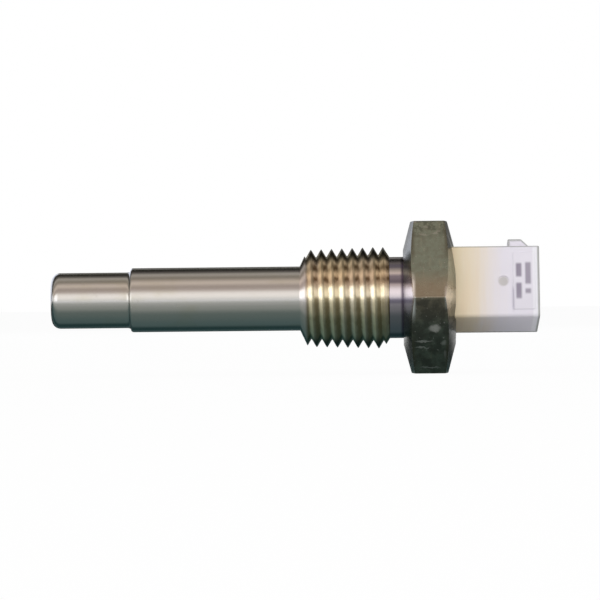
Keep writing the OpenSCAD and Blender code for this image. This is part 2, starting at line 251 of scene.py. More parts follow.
class Nodes:
    """The nodes of a material or a world, which all come from one method."""

    def __init__(self, tree):
        self.tree = tree
        tree.nodes.clear()

    def put(self, socket, value):
        """Links a value to a socket, or sets the socket to a number or a colour."""
        if isinstance(value, Value):
            self.tree.links.new(value.socket, socket)
        elif socket.type == "RGBA":
            socket.default_value = (*value, 1.0)
        else:
            socket.default_value = value

    def node(self, kind, settings=None, inputs=None, out=0):
        """Adds a node: its settings first, then the values or links of its sockets."""
        made = self.tree.nodes.new(kind)
        for key, value in (settings or {}).items():
            setattr(made, key, value)
        for key, value in (inputs or {}).items():
            self.put(made.inputs[key], value)
        return Value(self, made.outputs[out]) if made.outputs else None

    def outputs(self, value):
        """Every output of the node that a value comes from, by name."""
        return {socket.name: Value(self, socket) for socket in value.socket.node.outputs}

    def math(self, operation, *terms, clamp=False):
        """A Math node on these terms."""
        settings = {"operation": operation, "use_clamp": clamp}
        return self.node("ShaderNodeMath", settings, dict(enumerate(terms)))

    def normalised(self, vector):
        """A vector made one long."""
        return self.node("ShaderNodeVectorMath", {"operation": "NORMALIZE"}, {0: vector})

    def place(self):
        """The point on the surface, in millimetres in the probe's own frame."""
        where = self.node("ShaderNodeTexCoord", out="Object")
        return self.node("ShaderNodeVectorMath", {"operation": "SCALE"}, {0: where, "Scale": 1 / MM})

    def turned_place(self, angle):
        """The point in the header's own frame, which is turned about X."""
        return self.node(
            "ShaderNodeVectorRotate",
            {"rotation_type": "X_AXIS"},
            {"Vector": self.place(), "Angle": angle},
        )

    def parts(self, vector):
        """The three numbers of a vector."""
        split = self.outputs(self.node("ShaderNodeSeparateXYZ", inputs={0: vector}))
        return split["X"], split["Y"], split["Z"]

    def stretch(self, vector, factors):
        """A vector with each of its numbers multiplied."""
        return self.node("ShaderNodeVectorMath", {"operation": "MULTIPLY"}, {0: vector, 1: factors})

    def noise(self, vector, scale, detail=3.0, roughness=0.55):
        """Smooth noise from 0 to 1."""
        return self.node(
            "ShaderNodeTexNoise",
            inputs={"Vector": vector, "Scale": scale, "Detail": detail, "Roughness": roughness},
        )

    def drawn_noise(self, vector, scales, detail=2.0):
        """Smooth noise with a scale of its own along each axis, which draws it out."""
        return self.noise(self.stretch(vector, scales), 1.0, detail)

    def band(self, value, low, high):
        """0 below low, 1 above high, and smooth between."""
        return self.node(
            "ShaderNodeMapRange",
            {"interpolation_type": "SMOOTHSTEP"},
            {"Value": value, "From Min": low, "From Max": high},
        )

    def near(self, value, middle, core, edge):
        """1 within core of the middle, 0 beyond edge of it, and smooth between."""
        return 1 - self.band(abs(value - middle), core, edge)

    def span(self, value, low, full, fading, high):
        """1 from full to fading, 0 outside low and high, and smooth between."""
        return self.band(value, low, full) * (1 - self.band(value, fading, high))

    def highest(self, first, *others):
        """The highest of some values."""
        for other in others:
            first = self.math("MAXIMUM", first, other)
        return first

    def mix(self, factor, first, second):
        """Two colours mixed."""
        sockets = {0: factor, 6: first, 7: second}
        return self.node("ShaderNodeMix", {"data_type": "RGBA"}, sockets, out=2)

    def vector_mix(self, factor, first, second):
        """Two vectors mixed."""
        sockets = {0: factor, 4: first, 5: second}
        return self.node("ShaderNodeMix", {"data_type": "VECTOR"}, sockets, out=1)

    def seen(self):
        """1 to the camera and in what gloss and glass show, and 0 to the light on a surface."""
        rays = self.outputs(self.node("ShaderNodeLightPath"))
        return self.highest(*(rays[f"Is {kind} Ray"] for kind in ("Camera", "Glossy", "Transmission")))


def new_material(name):
    """A new material that uses nodes."""
    material = bpy.data.materials.new(name)
    material.use_nodes = True
    return material


class Finish(Nodes):
    """A material under one Principled shader, with a base colour that tints are mixed into."""

    def __init__(self, name, constants, base=None):
        self.material = new_material(name)
        super().__init__(self.material.node_tree)
        self.shader = self.node("ShaderNodeBsdfPrincipled", inputs=constants)
        self.node("ShaderNodeOutputMaterial", inputs={"Surface": self.shader})
        self.base = base

    def tint(self, share, colour):
        """Mixes a share of another colour into the base colour."""
        self.base = self.mix(share, self.base, colour)

    def feed(self, name, value):
        """Links a value to the Principled shader's socket of that name."""
        self.put(self.shader.socket.node.inputs[name], value)

    def bump(self, height, distance, facing=None):
        """Feeds a height, in millimetres, to the surface's normal, or to one that is given."""
        sockets = {"Strength": 1.0, "Distance": distance * MM, "Height": height}
        if facing:
            sockets["Normal"] = facing
        self.feed("Normal", self.node("ShaderNodeBump", inputs=sockets))


# ---------------------------------------------------------------- finishes


# painted shade in bands on the neck: height above the axis, half width of the core and of the edge in mm,
# strength
NECK_PAINTED_SHADE = (
    (4.27, 0.12, 0.45, 0.8),
    (2.5, 0.35, 0.8, 0.75),
    (-0.45, 0.1, 0.6, 0.3),
    (-8.25, 7.85, 8.5, 0.5),
)
# NECK_GLINT places a painted highlight on the neck
NECK_GLINT = (3.5, 0.1, 0.4)  # the bright line between them: height and half widths in mm


def turned_steel(colours, sizes):
    """Bright steel with lathe rings and faint stains, painted shade in bands and a painted highlight on
    the neck, and painted shade by the hexagon.
    """
    finish = Finish("turned_steel", {"Metallic": 1.0}, colours.steel)
    place = finish.place()
    cloud = finish.drawn_noise(place, (0.16, 0.3, 0.3), 3.0)
    stain = finish.band(cloud, 0.5, 0.72)
    grime = finish.band(finish.noise(place, 1.7, 5.0), 0.62, 0.8)
    finish.tint(stain * 0.35, (0.54, 0.52, 0.42))
    finish.tint(grime * 0.25, (0.33, 0.31, 0.27))
    along, _, up = finish.parts(place)
    neck = finish.band(along, sizes.neck_x - 0.5, sizes.neck_x)
    finish.tint(neck, (0.63, 0.585, 0.64))
    # painted shade in bands on the neck, and over its lower half
    neck_shade = 0.0
    for height, core, edge, strength in NECK_PAINTED_SHADE:
        neck_shade = finish.near(up, height, core, edge) * strength + neck_shade
    finish.tint((neck * neck_shade).clamped(), (0.12, 0.105, 0.17))
    # a painted highlight along the neck
    glint = finish.near(up, *NECK_GLINT)
    finish.tint(neck * glint * 0.9, (0.97, 0.90, 0.95))
    # painted shade in the corner where the neck meets the hexagon
    crevice_shade = finish.band(along, sizes.hex_x - 0.5, sizes.hex_x - 0.1)
    finish.tint(crevice_shade * 0.85, (0.07, 0.05, 0.09))
    finish.feed("Base Color", finish.base)
    finish.feed("Roughness", 0.16 + cloud * 0.08 + grime * 0.1)
    lathe_rings = finish.drawn_noise(place, (9.0, 0.05, 0.05))
    finish.bump(lathe_rings + finish.noise(place, 3.0, 4.0) * 0.3, 0.004)
    return finish.material


# each turn carries a stripe of painted shade on the flank towards the hexagon
STRIPE_TURN = 0.45  # where on a turn of the thread its dark stripe lies, in turns
# painted glints break the stripes in the thread's upper part
BREAK_HEIGHT = 3.35  # mm above the axis, the middle of a break in the stripes
BREAK_SPACING = 1.55  # mm from one break to the next
THREAD_FLATNESS = 0.7  # share of the thread's slopes that is left out of its shading


def painted_thread_shade(finish, sizes, parts, blotch, upper):
    """Share of painted shade: a dark stripe to each turn, deepest by the neck, thin in a painted highlight
    band and broken by painted glints in its upper part.
    """
    along, across, up = parts
    from_top = finish.math("ARCTAN2", up, across) * (1 / TURN) - 0.25
    turns = (along - sizes.thread_phase) * (1 / sizes.thread_pitch) - from_top
    wave = finish.math("SINE", (turns + STRIPE_TURN) * TURN)
    dark = finish.band((blotch - 0.5) * 0.6 - wave, -0.8, 0.9)
    # painted shade: the stripes deepen towards the neck
    last = finish.band(along, sizes.neck_x - 1.8, sizes.neck_x - 0.9)
    dark = finish.highest(dark, last * 0.7)
    # a painted highlight band, where the stripes are thinned
    highlight_band = finish.near(up, 1.0, 0.6, 1.2)
    wander = (blotch - 0.5) * 0.9
    # painted glints across the stripes in the upper part
    painted_glints = finish.math("COSINE", (up + wander - BREAK_HEIGHT) * (TURN / BREAK_SPACING)) * 0.5 + 0.5
    return dark * (1 - highlight_band * 0.55) * (1 - upper * (painted_glints * 0.75 - 0.05))


def thread_metal(colours, sizes):
    """Gold-tinted thread, with painted shade on the flanks towards the hexagon and on the crests."""
    finish = Finish("thread_metal", {"Metallic": 1.0}, colours.thread)
    place = finish.place()
    parts = finish.parts(place)
    along, across, up = parts
    blotch = finish.noise(place, 1.1, 4.0)
    finish.tint(finish.band(blotch, 0.45, 0.7) * 0.35, (0.68, 0.56, 0.36))
    hue = finish.drawn_noise(place, (0.55, 0.05, 0.05), 1.0)
    finish.tint(finish.band(hue, 0.5, 0.62) * 0.3, (0.60, 0.56, 0.60))
    upper = finish.span(up, 1.4, 2.2, 4.9, 5.5)
    below = finish.span(up, -2.4, -1.4, -0.2, 0.5)
    # a painted warm cast over the upper part of the thread
    finish.tint(upper * 0.3, (0.74, 0.46, 0.27))
    # the colour of the painted shade: browner in the upper part, deeper just below the axis
    shade = finish.mix(upper, (0.175, 0.13, 0.055), (0.085, 0.042, 0.011))
    shade = finish.mix(below * 0.5, shade, (0.08, 0.06, 0.02))
    dark = painted_thread_shade(finish, sizes, parts, blotch, upper)
    finish.tint((dark * 0.87).clamped(), shade)
    height = finish.math("SQRT", across * across + up * up) - along * sizes.taper
    # painted shade on the crests
    crest = finish.band(height, sizes.thread_r - 0.41, sizes.thread_r - 0.09)
    finish.tint(crest * 0.55, (0.12, 0.115, 0.075))
    # painted shade on the crest tips near the top and the bottom
    outer = finish.band(height, sizes.thread_r - 0.7, sizes.thread_r - 0.2)
    outer = outer * finish.band(abs(up), 4.9, 6.2)
    finish.tint(outer * 0.85, (0.035, 0.04, 0.03))
    lead = 1 - finish.band(along, sizes.lead_x + 0.65, sizes.lead_x + 1.25)
    finish.tint(lead * 0.9, (0.66, 0.63, 0.64))
    finish.feed("Base Color", finish.base)
    finish.feed("Roughness", 0.16 + blotch * 0.08)
    outward = finish.normalised(finish.stretch(place, (0.0, 1.0, 1.0)))
    true_normal = finish.node("ShaderNodeNewGeometry", out="Normal")
    facing = finish.normalised(finish.vector_mix(THREAD_FLATNESS, true_normal, outward))
    finish.bump(finish.noise(place, 5.0, 4.0), 0.006, facing)
    return finish.material


# bright rubs on the dark flat: along X, height above the axis, half length and half height in mm, strength
HEXAGON_RUBS = (
    (11.5, -4.2, 1.0, 0.6, 0.8),
    (10.0, -5.95, 1.5, 0.16, 0.6),
    (9.8, -6.75, 1.3, 0.13, 0.5),
    (12.7, -6.2, 0.5, 0.45, 0.4),
    (12.9, -7.6, 0.25, 0.7, 0.3),
    (10.9, -9.5, 1.7, 0.14, 0.4),
)


def hexagon_scuffs(finish, place, parts, below, top):
    """Share of bare metal: scuffs all over, flecks at the top, and rubs on the dark flat."""
    along, _, up = parts
    scuff = finish.band(finish.noise(place, 3.4, 3.0), 0.66, 0.72) * 0.5
    flecks = finish.band(finish.drawn_noise(place, (0.8, 1.6, 1.6)), 0.56, 0.68)
    scuff = finish.highest(scuff, flecks * top * 0.3)
    wander = (finish.noise(place, 1.6, 2.0) - 0.5) * 0.7
    for x, height, half, tall, strength in HEXAGON_RUBS:
        away = (along - x) * (1 / half)
        high = (up + wander - height) * (1 / tall)
        inside = 1 - finish.band(away * away + high * high, 0.0, 1.0)
        scuff = finish.highest(scuff, inside * below * strength)
    return scuff


def hexagon_metal(colours, sizes):
    """Dull olive skin on the hexagon, mottled, darker towards the top, with painted shade on one rubbed
    flat, and bare ends that carry a painted highlight near the axis and painted shade away from it.
    """
    finish = Finish("hexagon_metal", {"Metallic": 1.0}, colours.hexagon)
    place = finish.place()
    mottle = finish.noise(place, 1.3, 5.0, 0.65)
    streak = finish.drawn_noise(place, (2.4, 0.35, 0.35), 4.0)
    finish.tint(finish.band(mottle, 0.4, 0.68) * 0.6, (0.2, 0.2, 0.165))
    finish.tint(finish.band(streak, 0.58, 0.72) * 0.3, (0.42, 0.40, 0.31))
    parts = finish.parts(place)
    along, across, up = parts
    off_corner = finish.math("PINGPONG", finish.math("ARCTAN2", up, across), math.pi / SIDES)
    brown = (1 - finish.band(off_corner, 0.08, 0.42)) * (1 - finish.band(abs(up), 3.5, 6.0))
    finish.tint(brown * 0.55, (0.37, 0.275, 0.20))
    # painted shade on the lower front flat, deeper in patches
    below = (1 - finish.band(across, -1.0, 1.0)) * (1 - finish.band(up, -0.5, 0.1))
    patches = finish.band(finish.noise(place, 0.9, 3.0), 0.3, 0.62)
    finish.tint(below * (0.45 + patches * 0.35), (0.055, 0.055, 0.05))
    top = finish.band(up, 7.4, 9.2)
    # darker mottling towards the top
    top_mottle = finish.band(finish.noise(place, 1.5, 3.0), 0.42, 0.6) * top
    finish.tint(top_mottle * 0.6, (0.09, 0.10, 0.08))
    scuff = hexagon_scuffs(finish, place, parts, below, top)
    finish.tint(scuff, (0.72, 0.66, 0.66))
    middle, half = (sizes.hex_x + sizes.hex_end) / 2, (sizes.hex_end - sizes.hex_x) / 2
    ends = finish.band(abs(along - middle), half - 1.75, half - 1.2)
    narrow = finish.band(along, middle, middle + 0.5) * 0.16
    # bare metal where the chamfers cut the corners, made a painted highlight near the axis only
    bare_and_highlight = (1 - finish.band(off_corner + mottle * 0.12 + narrow, 0.16, 0.42)) * ends
    far = finish.band(abs(up), 4.0, 7.0)
    bare_and_highlight = bare_and_highlight * (1 - far)
    finish.tint(bare_and_highlight * 0.95, (0.97, 0.97, 1.0))
    # painted shade on the ends away from the axis
    finish.tint(ends * far * 0.75, (0.11, 0.10, 0.075))
    finish.feed("Base Color", finish.base)
    finish.feed("Roughness", 0.22 + mottle * 0.14 - bare_and_highlight * 0.14)
    finish.bump((mottle + streak * 0.6 - scuff * 0.5) * (1 - ends * 0.75), 0.025)
    return finish.material


# plain ink bars on the pad, in mm before the header is turned: middle along X, lowest and highest point
INK_BARS = (
    (22.95, 1.5, 3.4),
    (22.95, -1.5, 0.7),
    (24.2, 0.5, 3.5),
    (24.2, -0.8, -0.1),
)
PAD_EDGE_SHADE_HEIGHT = -1.5  # mm above the axis, the middle of the painted shade along the pad's edge
FADE = (15.6, 23.4)  # mm along X, from where the ivory starts to fade to where it is pale


def ink_marks(finish, along, up):
    """Share of ink on the pad: one soft bar for each row of the table."""
    marks = 0.0
    for middle, low, top in INK_BARS:
        half = (top - low) / 2
        column = finish.near(along, middle, 0.2, 0.55)
        marks = column * finish.near(up, low + half, half - 0.25, half + 0.2) + marks
    return marks


def header_edges(finish, sizes, parts, side):
    """The shaded edges of the bar: its top edge, its lowest edge and the lip round its mouth."""
    along, across, high = parts
    half_w, half_h, mouth = sizes.width / 2, sizes.height / 2, sizes.mouth_x
    top_edge = finish.band(high, half_h - 0.32, half_h - 0.08) * side
    low_edge = finish.band(across, half_w - 1.5, half_w - 0.7)
    low_edge = low_edge * finish.band(high * -1.0, half_h - 0.3, half_h - 0.1)
    outside = finish.highest(abs(across) - half_w, abs(high) - half_h)
    lip = finish.span(along, mouth - 0.4, mouth - 0.2, mouth - 0.04, mouth - 0.01)
    return finish.highest(top_edge, low_edge, lip * finish.band(outside, -0.5, -0.35))


def latch_edges(finish, sizes, parts):
    """The shaded edges of the latch's side: its top, its back and its ramp."""
    along, across, high = parts
    half_h, half_latch = sizes.height / 2, sizes.latch_width / 2
    foot = sizes.mouth_x - sizes.latch_foot
    back = foot - sizes.latch_ramp - sizes.latch_top
    ramp = (foot - along) * (sizes.latch_height / sizes.latch_ramp) + half_h - high
    border = finish.math("MINIMUM", half_h + sizes.latch_height - high, along - back)
    border = finish.math("MINIMUM", border, ramp)
    latch = finish.band(high, half_h + 0.02, half_h + 0.2)
    latch = latch * finish.band(across * -1.0, half_latch - 0.2, half_latch - 0.05)
    return (1 - finish.band(border, 0.16, 0.42)) * latch


def header_plastic(colours, sizes):
    """Ivory moulded plastic, warm by the hexagon and cool by the mouth, with ink bars."""
    finish = Finish("header_plastic", {"IOR": 1.5}, colours.ivory)
    place = finish.turned_place(sizes.turned)
    along, across, up = finish.parts(place)
    high = up - sizes.rise
    half_w, mark_r = sizes.width / 2, sizes.mark_d / 2
    cloud = finish.drawn_noise(place, (0.55, 0.08, 0.08))
    fade = finish.band(along + cloud * 3.0, *FADE)
    finish.tint(fade, colours.pale)
    flow = finish.band(finish.drawn_noise(place, (1.3, 0.04, 0.12)), 0.42, 0.68)
    finish.tint(flow * (1 - fade) * 0.25, (0.80, 0.60, 0.42))
    side = finish.band(across * -1.0, half_w - 0.5, half_w - 0.2)
    faded = finish.band(finish.noise(place, 0.3, 0.0), 0.3, 0.7)
    marks = (ink_marks(finish, along, up) * side).clamped()
    finish.tint(marks * (faded * 0.15 + 0.62), colours.ink)
    pad_x = sizes.mouth_x - sizes.pad_foot - sizes.pad_length
    # painted shade along the pad's back edge
    pad_edge_shade = finish.near(along, pad_x, 0.05, 0.3) * finish.near(up, PAD_EDGE_SHADE_HEIGHT, 1.0, 2.0)
    finish.tint(pad_edge_shade * side * 0.4, (0.36, 0.32, 0.44))
    behind = along - (sizes.mouth_x - sizes.mark_foot)
    away = finish.math("SQRT", behind * behind + high * high)
    # painted shade in the ejector mark's recess
    mark_shade = 1 - finish.band(away, mark_r - 0.3, mark_r + 0.08)
    finish.tint(mark_shade * side * 0.7, (0.47, 0.45, 0.42))
    # a painted highlight over the last millimetre by the mouth
    rim = finish.band(along, sizes.mouth_x - 1.05, sizes.mouth_x - 0.8)
    finish.tint(rim * 0.6, (0.92, 0.92, 0.97))
    parts = along, across, high
    finish.tint(header_edges(finish, sizes, parts, side) * 0.7, (0.25, 0.265, 0.23))
    finish.tint(latch_edges(finish, sizes, parts) * 0.75, (0.34, 0.36, 0.33))
    finish.feed("Base Color", finish.base)
    finish.feed("Roughness", 0.36 + cloud * 0.1)
    finish.bump(finish.noise(place, 6.0, 3.0), 0.004)
    return finish.material


# name: base, second colour, metallic, roughness, noise per mm, bump depth in mm
PLAIN_FINISHES = {
    "bore_steel": ((0.42, 0.41, 0.39), (0.30, 0.29, 0.27), 1.0, 0.4, 2.0, 0.01),
    "tinned_brass": ((0.80, 0.78, 0.73), (0.72, 0.68, 0.57), 1.0, 0.3, 1.2, 0.0015),
    "gasket_rubber": ((0.06, 0.06, 0.062), (0.10, 0.10, 0.10), 0.0, 0.75, 4.0, 0.02),
    "alumina": ((0.86, 0.85, 0.80), (0.78, 0.76, 0.70), 0.0, 0.55, 5.0, 0.008),
    "glaze": ((0.36, 0.47, 0.55), (0.26, 0.36, 0.46), 0.0, 0.16, 3.0, 0.004),
    "nickel_lead": ((0.66, 0.64, 0.60), (0.58, 0.56, 0.50), 1.0, 0.3, 6.0, 0.003),
    "sleeve_brass": ((0.70, 0.55, 0.27), (0.55, 0.42, 0.20), 1.0, 0.32, 4.0, 0.006),
    "copper_wire": ((0.80, 0.45, 0.30), (0.62, 0.32, 0.20), 1.0, 0.3, 5.0, 0.004),
    "red_jacket": ((0.55, 0.05, 0.04), (0.42, 0.04, 0.03), 0.0, 0.45, 4.0, 0.005),
    "white_jacket": ((0.80, 0.80, 0.78), (0.70, 0.70, 0.66), 0.0, 0.45, 4.0, 0.005),
    "liner_plastic": ((0.78, 0.76, 0.68), (0.68, 0.65, 0.55), 0.0, 0.4, 2.0, 0.004),
    "potting": ((0.05, 0.05, 0.055), (0.09, 0.085, 0.08), 0.0, 0.35, 2.0, 0.02),
    "filler": ((0.62, 0.62, 0.60), (0.50, 0.50, 0.48), 0.0, 0.7, 4.0, 0.02),
}


def plain_finish(name):
    """A finish that varies softly between two colours, for a surface inside the probe."""
    base, other, metallic, roughness, scale, depth = PLAIN_FINISHES[name]
    finish = Finish(name, {"Metallic": metallic}, base)
    cloud = finish.noise(finish.place(), scale, 4.0)
    finish.tint(finish.band(cloud, 0.35, 0.7), other)
    finish.feed("Base Color", finish.base)
    finish.feed("Roughness", roughness + (cloud - 0.5) * 0.2)
    finish.bump(cloud, depth)
    return finish.material


def pair(name):
    """The nodes of the left and the right one of a pair."""
    return (f"{name}_left", f"{name}_right")


# finish: the nodes that have it
INNER_NODES = {
    "tinned_brass": pair("contact_blade"),
    "gasket_rubber": ("header_gasket",),
    "alumina": ("sensing_chip", "twin_bore_insulator"),
    "glaze": ("chip_glaze",),
    "nickel_lead": pair("chip_lead"),
    "sleeve_brass": (*pair("splice_sleeve"), *pair("blade_ferrule")),
    "copper_wire": pair("lead_wire"),
    "red_jacket": ("wire_jacket_left",),
    "white_jacket": ("wire_jacket_right",),
    "liner_plastic": ("liner_tube", "lead_spacer"),
    "potting": ("potting_plug",),
    "filler": ("thermal_filler",),
}


# ---------------------------------------------------------------- body


# slots of the body's skin
STEEL, THREAD, HEXAGON, BORE = range(4)

FLAT_STEPS = 42  # columns of the mesh across one flat
HALVINGS = 40  # steps of the search for the pocket's wall
END_RINGS = 8  # rings on the tip's flat end
FILLET_SHARE = 0.55  # share of the shoulder's step that its fillet takes up
POCKET_EDGE = 0.02  # mm of broken edge round the header's pocket

# the rounding between the hexagon's chamfer and its flats, as shares of its length
EDGE_REACH = 0.9  # how far it reaches over the chamfer
EDGE_DROP = 0.1  # how far its middle lies off the chamfer
EDGE_INSET = 0.35  # how far its middle lies inside the flat


def quarter(steps):
    """A quarter turn in steps, as (sine, one less the cosine)."""
    turns = (math.pi / 2 * k / steps for k in range(1, steps + 1))
    return [(math.sin(turn), 1 - math.cos(turn)) for turn in turns]


def between(first, last, steps):
    """Places between two ends, without the ends."""
    return [first + (last - first) * k / steps for k in range(1, steps)]


def body_angles(sizes):
    """Angles about X, close together at the hexagon's corners, as (angle, hexagon radius)."""
    flat = sizes.hex_af / 2
    centre = (flat - sizes.hex_corner) / math.cos(math.pi / SIDES)
    reach = math.pi / SIDES - math.atan(centre * math.sin(math.pi / SIDES) / flat)
    steps = [-reach, -0.5 * reach, 0.0, 0.5 * reach, reach]
    steps += between(reach, TURN / SIDES - reach, FLAT_STEPS)
    angles = []
    for side in range(SIDES):
        for step in steps:
            if abs(step) <= reach + TINY:
                inside = max(0.0, sizes.hex_corner**2 - (centre * math.sin(step)) ** 2)
                radius = centre * math.cos(step) + math.sqrt(inside)
            else:
                radius = flat / math.cos(step - math.pi / SIDES)
            angles.append((step + TURN * side / SIDES, radius))
    return angles


def rounded_box_reach(angle, half_w, half_h, corner, rise):
    """Distance from the origin to a rounded rectangle that is centred on (0, rise)."""
    low, high = 0.0, 2 * (half_w + half_h)
    for _ in range(HALVINGS):
        middle = (low + high) / 2
        across = abs(middle * math.cos(angle)) - (half_w - corner)
        up = abs(middle * math.sin(angle) - rise) - (half_h - corner)
        gap = math.hypot(max(across, 0), max(up, 0)) + min(max(across, up), 0) - corner
        low, high = (low, middle) if gap > 0 else (middle, high)
    return low


def rounded_fall(share, soft):
    """How far a thread has fallen from crest to root, rounded at both."""
    return (share + math.hypot(share, soft) - (share - 1) - math.hypot(share - 1, soft)) / 2


def ridge(sizes, x, angle):
    """Radius of the right-hand tapered thread at x, at an angle that turns from +Y to +Z."""
    crest = sizes.thread_r + x * sizes.taper
    turns = (x - sizes.thread_phase) / sizes.thread_pitch - (angle - math.pi / 2) / TURN
    off = 2 * abs(turns - round(turns))
    low, high = (rounded_fall(share, sizes.thread_soft) for share in (0, 1))
    fall = (rounded_fall(off, sizes.thread_soft) - low) / (high - low)
    thread = crest - sizes.thread_depth * fall
    lead = sizes.stem_d / 2 + (x - sizes.lead_x) * sizes.lead_slope
    runout = sizes.neck_d / 2 + (sizes.neck_x - x) * sizes.runout_slope
    return min(thread, lead, runout)


def ring(x, radius, slot=STEEL):
    """A round row of the skin: its slot, and its place at an angle and a radius of the hexagon there."""
    return (slot, lambda angle, hexed: (x, radius))


def stem_rows(sizes):
    """Rows over the tip's end and side, the shoulder and the stem."""
    tip_r, stem_r = sizes.tip_d / 2, sizes.stem_d / 2
    corner, fillet, bevel = sizes.tip_round, sizes.shoulder_fillet, sizes.shoulder_bevel
    step_x, step_r = sizes.shoulder_x, tip_r + (stem_r - tip_r) * FILLET_SHARE
    fillet_x = step_x - fillet
    places = [(sizes.tip_x, (tip_r - corner) * k / END_RINGS) for k in range(1, END_RINGS + 1)]
    for out, along in quarter(steps=10):
        places.append((sizes.tip_x + corner * along, tip_r - corner * (1 - out)))
    places += [(x, tip_r) for x in between(sizes.tip_x + corner, fillet_x, steps=24)]
    places.append((fillet_x, tip_r))
    for along, out in quarter(steps=8):
        places.append((fillet_x + fillet * along, tip_r + (step_r - tip_r) * out))
    for out, along in quarter(steps=6):
        places.append((step_x + bevel * along, step_r + (stem_r - step_r) * out))
    places += [(x, stem_r) for x in between(step_x + bevel, sizes.lead_x, steps=45)]
    places.append((sizes.lead_x, stem_r))
    return [ring(x, radius) for x, radius in places]


def thread_rows(sizes):
    """Rows over the lead-in, the thread and the neck."""

    def winding(x):
        return (THREAD, lambda angle, hexed: (x, ridge(sizes, x, angle)))

    count = int((sizes.neck_x - sizes.lead_x) * sizes.thread_rows / sizes.thread_pitch)
    rows = [winding(x) for x in between(sizes.lead_x, sizes.neck_x, count)]
    neck = [sizes.neck_x, *between(sizes.neck_x, sizes.hex_x, steps=4), sizes.hex_x]
    return rows + [ring(x, sizes.neck_d / 2) for x in neck]


def hexagon_rows(sizes):
    """Rows over the hexagon's front face, its chamfers and its flats."""
    land_r, slope = sizes.hex_land_d / 2, math.tan(sizes.hex_chamfer)

    def depth(radius):
        """How far a chamfer has gone into the hexagon at a radius."""
        return (radius - land_r) * slope

    def end_rows(face_x, sign):
        """Rows over the chamfer of one end, and the rounding up to its flats."""

        def cone(angle, hexed):
            radius = hexed - sizes.edge / slope * EDGE_REACH
            return (face_x + sign * depth(radius), radius)

        def rounding(angle, hexed):
            reach = depth(hexed) - sizes.edge * EDGE_DROP
            return (face_x + sign * reach, hexed - sizes.edge * EDGE_INSET)

        def flat(angle, hexed):
            return (face_x + sign * (depth(hexed) + sizes.edge), hexed)

        return [(HEXAGON, place) for place in (cone, rounding, flat)]

    def across(share):
        """A row over the flats, at a share of the way between its ends."""

        def place(angle, hexed):
            reach = depth(hexed) + sizes.edge
            first, last = sizes.hex_x + reach, sizes.hex_end - reach
            return (first + (last - first) * share, hexed)

        return (HEXAGON, place)

    flats = [across(share) for share in between(0, 1, steps=12)]
    rear = end_rows(sizes.hex_end, -1)
    return [ring(sizes.hex_x, land_r), *end_rows(sizes.hex_x, 1), *flats, *reversed(rear)]


def bore_rows(sizes, header):
    """Rows over the hexagon's rear face, the header's pocket and the bores, down to the tip's."""
    land_r, slope = sizes.hex_land_d / 2, math.tan(sizes.hex_chamfer)
    gap = header.pocket_gap
    half_w, half_h, corner = header.width / 2 + gap, header.height / 2 + gap, header.corner + gap

    def pocket(angle):
        """Radius of the header's pocket at an angle."""
        return rounded_box_reach(angle + header.turned, half_w, half_h, corner, header.rise)

    def rear_face(radius):
        """Where the hexagon's rear face is at a radius."""
        return sizes.hex_end - max(0.0, radius - land_r) * slope

    def rear_land(angle, hexed):
        radius = max(land_r, pocket(angle) + POCKET_EDGE)
        return (rear_face(radius), radius)

    def pocket_mouth(angle, hexed):
        radius = pocket(angle)
        return (rear_face(radius) - POCKET_EDGE / 2, radius)

    def pocket_floor(angle, hexed):
        return (header.pocket_x, pocket(angle))

    rows = [(HEXAGON, rear_land), (STEEL, pocket_mouth), (BORE, pocket_floor)]
    bores = (
        (sizes.chamber_x, sizes.chamber_d / 2),
        (sizes.bore_x, sizes.bore_d / 2),
        (sizes.tip_bore_x, sizes.tip_bore_d / 2),
    )
    start = header.pocket_x
    for end, radius in bores:
        rows += [ring(start, radius, BORE), ring(end, radius, BORE)]
        start = end
    rows.append(ring(start, radius / 2, BORE))
    return rows


def body_mesh(sizes, header):
    """The turned body with its hexagon, thread, pocket and bores, as one closed skin."""
    angles = body_angles(sizes)
    rows = stem_rows(sizes) + thread_rows(sizes) + hexagon_rows(sizes) + bore_rows(sizes, header)
    count = len(angles)
    points = [Vector((sizes.tip_x, 0, 0)) * MM]
    for _, place in rows:
        for angle, hexed in angles:
            x, radius = place(angle, hexed)
            points.append(Vector((x, radius * math.cos(angle), radius * math.sin(angle))) * MM)
    points.append(Vector((sizes.tip_bore_x, 0, 0)) * MM)
    faces = [(0, 1 + (j + 1) % count, 1 + j) for j in range(count)]
    slots = [STEEL] * count
    for i, (slot, _) in enumerate(rows[1:]):
        first, second = 1 + i * count, 1 + (i + 1) * count
        for j in range(count):
            after = (j + 1) % count
            faces.append((first + j, first + after, second + after, second + j))
            slots.append(slot)
    last = 1 + (len(rows) - 1) * count
    faces += [(len(points) - 1, last + j, last + (j + 1) % count) for j in range(count)]
    slots += [BORE] * count
    mesh = bpy.data.meshes.new("probe_body_skin")
    mesh.from_pydata(points, [], faces)
    mesh.polygons.foreach_set("material_index", slots)
    mesh.update()
    return mesh


def add_object(name, data):
    """Puts a mesh, a lamp or a camera in the scene."""
    made = bpy.data.objects.new(name, data)
    bpy.context.scene.collection.objects.link(made)
    return made


def place_piece(mesh, name, finishes, node):
    """Puts a mesh in the scene as the piece that stands for a node."""
    for material in finishes:
        mesh.materials.append(material)
    piece = add_object(name, mesh)
    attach(piece, "root")
    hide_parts(node)


def smooth_by_angle(mesh, degrees):
    """Turns a mesh's faces outward and shades it smooth, with sharp edges above an angle."""
    mesh.shade_smooth()
    work = bmesh.new()
    work.from_mesh(mesh)
    bmesh.ops.recalc_face_normals(work, faces=work.faces)
    limit = math.radians(degrees)
    for edge in work.edges:
        edge.smooth = len(edge.link_faces) == 2 and edge.calc_face_angle(0.0) < limit
    work.to_mesh(mesh)
    work.free()


